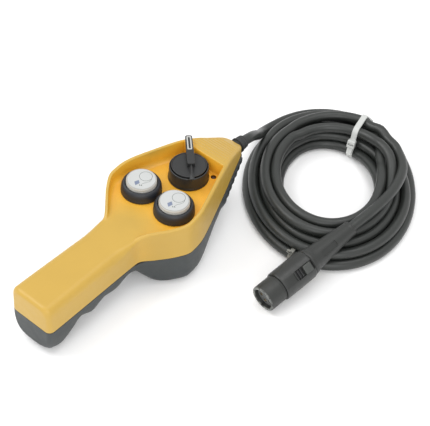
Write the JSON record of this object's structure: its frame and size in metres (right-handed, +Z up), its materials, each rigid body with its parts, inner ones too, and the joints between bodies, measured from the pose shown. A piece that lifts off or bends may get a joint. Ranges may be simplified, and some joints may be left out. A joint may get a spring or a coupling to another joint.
{
  "type": "pendant control station",
  "caption": "Hand-held pendant control station: yellow and grey moulded grip, push buttons, lever selector, and a coiled supply cable with a round plug.",
  "frame": {"origin": "centre of the housing's footprint, on the surface it lies on", "axes": "+X along the housing towards the cable end, +Z up out of the control panel, +Y to the left of a holder looking towards the cable end"},
  "size_m": [0.3437, 0.1716, 0.0645],
  "materials": {
    "yellow_shell": "moulded ABS, fine spark texture, satin",
    "grey_shell": "moulded ABS, coarse texture, satin",
    "rubber": "black elastomer",
    "steel": "zinc plated",
    "black_plastic": "black polyamide, satin",
    "pale_plastic": "off-white, satin gloss",
    "legend_disc": "printed pale disc",
    "moulding": "grey glass-filled polyamide",
    "marker_inlay": "white inlay",
    "smoked_lens": "smoked red lens",
    "led_body": "clear LED body",
    "wire_brown": "PVC insulation",
    "wire_blue": "PVC insulation",
    "wire_black": "PVC insulation",
    "wire_grey": "PVC insulation",
    "tie_nylon": "natural nylon",
    "cable_jacket": "PVC jacket, semi-matt",
    "plug_plastic": "black thermoplastic",
    "brass": "plated contacts"
  },
  "bodies": {
    "housing": {"front_cover": "yellow_shell", "rear_cover": "grey_shell", "housing_gasket": "rubber", "housing_screw_1": "steel", "housing_screw_2": "steel", "housing_screw_3": "steel", "housing_screw_4": "steel", "housing_screw_5": "steel", "housing_screw_6": "steel", "button_left_bezel": "black_plastic", "button_left_seal": "rubber", "button_left_nut": "black_plastic", "button_left_contact_block": "moulding", "button_left_spring": "steel", "button_right_bezel": "black_plastic", "button_right_seal": "rubber", "button_right_nut": "black_plastic", "button_right_contact_block": "moulding", "button_right_spring": "steel", "selector_bezel": "black_plastic", "selector_seal": "rubber", "selector_nut": "black_plastic", "selector_contact_block": "moulding", "indicator_lens": "smoked_lens", "indicator_led": "led_body", "cable_grommet": "rubber", "cable_clamp_bar": "steel", "cable_clamp_screw_1": "steel", "cable_clamp_screw_2": "steel", "lead_brown": "wire_brown", "lead_blue": "wire_blue", "lead_black": "wire_black", "lead_grey": "wire_grey", "cable_lead": "cable_jacket", "cable_coil": "cable_jacket", "cable_tail": "cable_jacket", "cable_tie": "tie_nylon", "plug_shell": "plug_plastic", "plug_insert": "moulding", "plug_contact_1": "brass", "plug_contact_2": "brass", "plug_contact_3": "brass", "plug_contact_4": "brass", "plug_contact_5": "brass", "plug_boot": "rubber"},
    "left_button": {"button_left_cap": "pale_plastic", "button_left_legend": "legend_disc", "button_left_plunger": "moulding"},
    "right_button": {"button_right_cap": "pale_plastic", "button_right_legend": "legend_disc", "button_right_plunger": "moulding"},
    "selector": {"selector_knob": "black_plastic", "selector_marker": "marker_inlay", "selector_shaft": "moulding"},
    "coupling": {"plug_coupling_ring": "plug_plastic"},
    "latch": {"plug_latch": "plug_plastic"}
  },
  "joints": [
    {"name": "left_button_press", "type": "slide", "parent": "housing", "child": "left_button", "axis": [0, 0, -1], "range_m": [0, 0.0035], "stiffness_N_per_m": 900, "springref_m": -0.002, "deforming": ["button_left_spring"]},
    {"name": "right_button_press", "type": "slide", "parent": "housing", "child": "right_button", "axis": [0, 0, -1], "range_m": [0, 0.0035], "stiffness_N_per_m": 900, "springref_m": -0.002, "deforming": ["button_right_spring"]},
    {"name": "selector_turn", "type": "hinge", "parent": "housing", "child": "selector", "pos_m": [0.05145, 0, 0.048], "axis": [0, 0, 1], "range_deg": [-90, 0]},
    {"name": "coupling_turn", "type": "hinge", "parent": "housing", "child": "coupling", "pos_m": [0.05148, -0.09997, 0.01558], "axis": [0.9837, -0.1163, 0.1374], "range_deg": [0, 90]},
    {"name": "latch_release", "type": "slide", "parent": "coupling", "child": "latch", "axis": [0.9837, -0.1163, 0.1374], "range_m": [0, 0.002], "stiffness_N_per_m": 400, "springref_m": -0.002}
  ]
}
